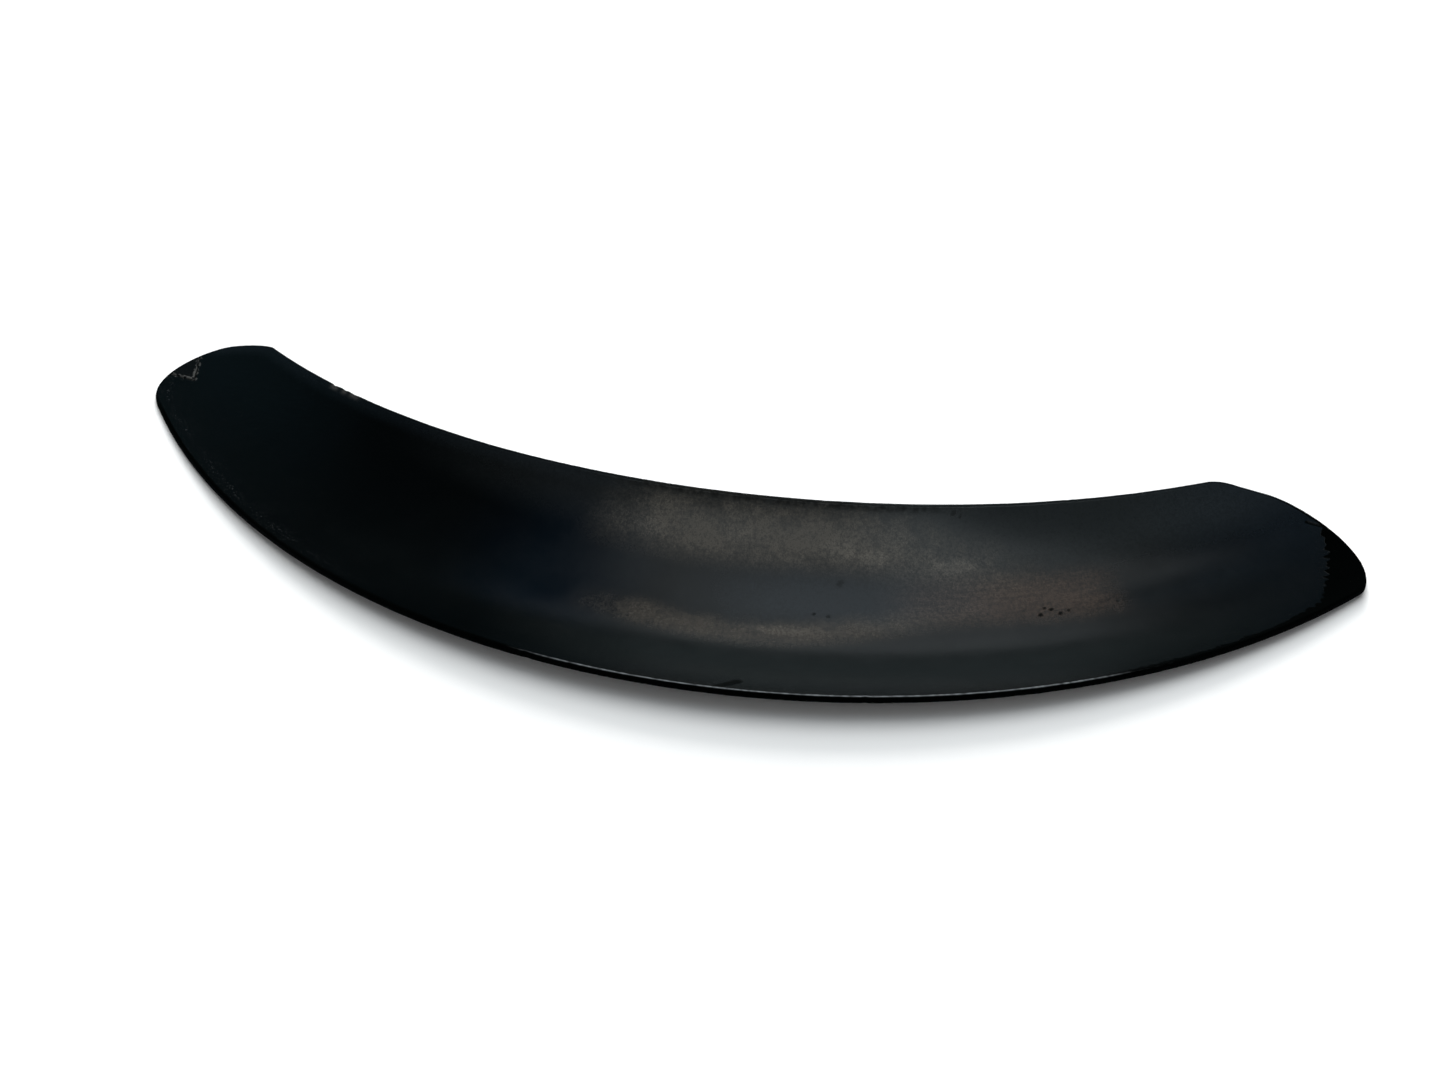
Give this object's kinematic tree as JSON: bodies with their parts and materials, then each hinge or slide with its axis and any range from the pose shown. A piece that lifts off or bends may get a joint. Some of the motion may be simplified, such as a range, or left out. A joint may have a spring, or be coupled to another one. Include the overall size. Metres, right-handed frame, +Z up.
{
  "type": "split-horn dish",
  "caption": "Long crescent trough made from half of a hollowed black horn, with rounded ends, a ground foot strip and a glossy black outside.",
  "frame": {"origin": "centre of the footprint's bounding box, on the surface the dish stands on", "axes": "+X along the dish from the cracked end to the lapped end, +Y towards the hollow side of the bend, +Z up"},
  "size_m": [0.4006, 0.1526, 0.0203],
  "materials": {
    "horn": "satin, waxed horn with brown-grey clouding and lengthwise fibres",
    "coat": "polished black",
    "flake": "rough, pale broken edges"
  },
  "bodies": {
    "root": {"horn_shell": "horn", "black_coat": "coat", "tip_flake": "flake"}
  },
  "joints": []
}
